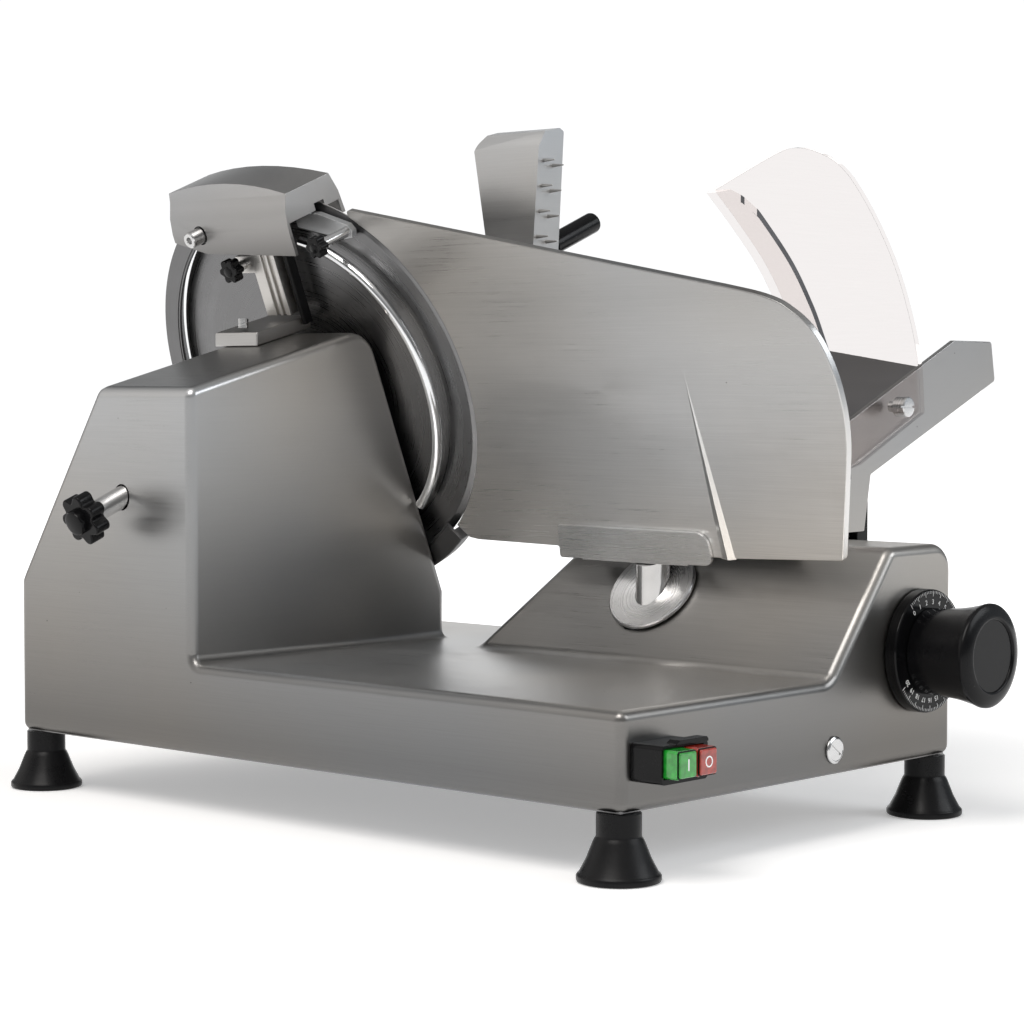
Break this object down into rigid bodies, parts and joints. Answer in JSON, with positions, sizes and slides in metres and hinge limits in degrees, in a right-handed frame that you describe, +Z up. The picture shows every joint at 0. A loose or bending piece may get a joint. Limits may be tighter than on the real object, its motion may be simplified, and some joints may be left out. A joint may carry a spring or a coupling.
{
  "type": "deli meat slicer",
  "caption": "Gravity-feed deli slicer: tilted round blade, gauge plate, sliding tray with pusher and clear guard, sharpener, thickness knob and switch on a steel base.",
  "frame": {"origin": "middle of the overall footprint, on the surface that the feet stand on", "axes": "+Z up, square to the receiving deck; +Y from the operator's side (switch and knob) to the back, along the carriage's travel, which is the longest extent; +X from the slice deck towards the food tray"},
  "size_m": [0.6048, 0.7084, 0.5043],
  "materials": {
    "brushed_steel": "brushed stainless sheet",
    "dark_steel": "darker brushed steel",
    "anodised": "brushed anodised aluminium",
    "chrome": "polished chrome",
    "cast_metal": "satin cast metal",
    "black_plastic": "glossy black moulded plastic",
    "rubber": "black rubber",
    "green_cap": "translucent green cap",
    "red_cap": "translucent red cap",
    "stone": "abrasive stone",
    "clear_acrylic": "clear acrylic sheet"
  },
  "bodies": {
    "base": {"base_shell": "brushed_steel", "bottom_plate": "dark_steel", "foot_front_left": "rubber", "foot_front_right": "rubber", "foot_back_left": "rubber", "foot_back_right": "rubber", "cable_gland": "black_plastic", "control_box": "black_plastic", "switch_housing": "black_plastic", "front_plug": "chrome", "gauge_guide_bar": "chrome", "blade_cover": "anodised", "ring_guard": "brushed_steel", "bearing_housing": "cast_metal", "front_bearing": "chrome", "rear_bearing": "chrome", "slice_deflector": "chrome", "motor_body": "dark_steel", "drive_belt": "rubber", "sharpener_foot": "brushed_steel", "sharpener_column": "brushed_steel", "wiper_strip": "rubber", "foot_bolt": "chrome", "carriage_rail": "chrome"},
    "start_button": {"start_button": "green_cap"},
    "stop_button": {"stop_button": "red_cap"},
    "index_knob": {"index_knob": "black_plastic", "dial_ring": "black_plastic", "index_shaft": "dark_steel"},
    "gauge": {"gauge_plate": "anodised", "gauge_bracket": "brushed_steel", "gauge_post": "chrome", "post_rosette": "brushed_steel", "gauge_slide_block": "cast_metal"},
    "blade": {"blade": "chrome", "blade_hub": "cast_metal", "blade_pulley": "cast_metal"},
    "motor_rotor": {"motor_shaft": "chrome", "motor_pulley": "cast_metal"},
    "tie_rod": {"tie_rod": "brushed_steel", "tie_rod_knob": "black_plastic"},
    "sharpener": {"sharpener_cap": "brushed_steel", "sharpener_arm": "cast_metal"},
    "lock_knob": {"lock_knob": "black_plastic"},
    "trim_knob": {"trim_knob": "black_plastic"},
    "grind_plunger": {"grind_plunger": "chrome"},
    "grinding_stone": {"grinding_stone": "stone"},
    "honing_stone": {"honing_stone": "stone"},
    "carriage": {"tray_floor": "anodised", "side_panel": "anodised", "carriage_arm": "dark_steel", "arm_cover": "black_plastic", "slider_block": "cast_metal", "clear_guard": "clear_acrylic", "pusher_rod": "chrome", "rod_brackets": "brushed_steel"},
    "guard_screw": {"guard_screw": "chrome"},
    "pusher_bush": {"pusher_bush": "cast_metal"},
    "pusher": {"pusher_body": "brushed_steel", "pusher_handle": "black_plastic"}
  },
  "joints": [
    {"name": "blade_spin", "type": "hinge", "parent": "base", "child": "blade", "pos_m": [-0.04757, 0.18575, 0.31009], "axis": [0.9272, 0, 0.3746], "continuous": true},
    {"name": "motor_spin", "type": "hinge", "parent": "base", "child": "motor_rotor", "pos_m": [-0.09072, 0.20775, 0.16862], "axis": [0.9272, 0, 0.3746], "continuous": true},
    {"name": "knob_turn", "type": "hinge", "parent": "base", "child": "index_knob", "pos_m": [0.07252, -0.32825, 0.122], "axis": [0, 1, 0], "range_deg": [0, 270]},
    {"name": "gauge_slide", "type": "slide", "parent": "base", "child": "gauge", "axis": [-0.9272, 0, -0.3746], "range_m": [0, 0.012]},
    {"name": "carriage_slide", "type": "slide", "parent": "base", "child": "carriage", "axis": [0, 1, 0], "range_m": [0, 0.28]},
    {"name": "pusher_slide", "type": "slide", "parent": "carriage", "child": "pusher_bush", "axis": [0.9272, 0, 0.3746], "range_m": [0, 0.16]},
    {"name": "pusher_swing", "type": "hinge", "parent": "pusher_bush", "child": "pusher", "pos_m": [0.06994, 0.04975, 0.26481], "axis": [-0.9272, 0, -0.3746], "range_deg": [0, 95]},
    {"name": "start_press", "type": "slide", "parent": "base", "child": "start_button", "axis": [0, 1, 0], "range_m": [0, 0.0025], "stiffness_N_per_m": 400},
    {"name": "stop_press", "type": "slide", "parent": "base", "child": "stop_button", "axis": [0, 1, 0], "range_m": [0, 0.0025], "stiffness_N_per_m": 400},
    {"name": "tie_rod_turn", "type": "hinge", "parent": "base", "child": "tie_rod", "pos_m": [-0.26824, 0.18575, 0.22093], "axis": [0.9272, 0, 0.3746], "range_deg": [0, 360]},
    {"name": "sharpener_lift", "type": "slide", "parent": "base", "child": "sharpener", "axis": [-0.3746, 0, 0.9272], "range_m": [0, 0.06]},
    {"name": "lock_knob_turn", "type": "hinge", "parent": "base", "child": "lock_knob", "pos_m": [-0.11952, 0.21255, 0.39739], "axis": [0.9272, 0, 0.3746], "range_deg": [0, 360]},
    {"name": "trim_knob_turn", "type": "hinge", "parent": "sharpener", "child": "trim_knob", "pos_m": [-0.1339, 0.10275, 0.41164], "axis": [0.9272, 0, 0.3746], "range_deg": [0, 360]},
    {"name": "grind_press", "type": "slide", "parent": "sharpener", "child": "grind_plunger", "axis": [0.9272, 0, 0.3746], "range_m": [0, 0.0025], "stiffness_N_per_m": 500},
    {"name": "grinding_stone_spin", "type": "hinge", "parent": "grind_plunger", "child": "grinding_stone", "pos_m": [-0.10854, 0.23425, 0.43429], "axis": [0.9272, 0, 0.3746], "continuous": true},
    {"name": "honing_stone_spin", "type": "hinge", "parent": "sharpener", "child": "honing_stone", "pos_m": [-0.0982, 0.17775, 0.45141], "axis": [0.9272, 0, 0.3746], "continuous": true},
    {"name": "guard_screw_turn", "type": "hinge", "parent": "carriage", "child": "guard_screw", "pos_m": [0.14452, -0.22825, 0.2926], "axis": [0, 1, 0], "range_deg": [0, 360]}
  ],
  "couplings": [
    {"joint": "motor_spin", "follows": "blade_spin", "ratio": 2.2727},
    {"joint": "gauge_slide", "follows": "knob_turn", "m_per_rad": 0.0025465}
  ]
}
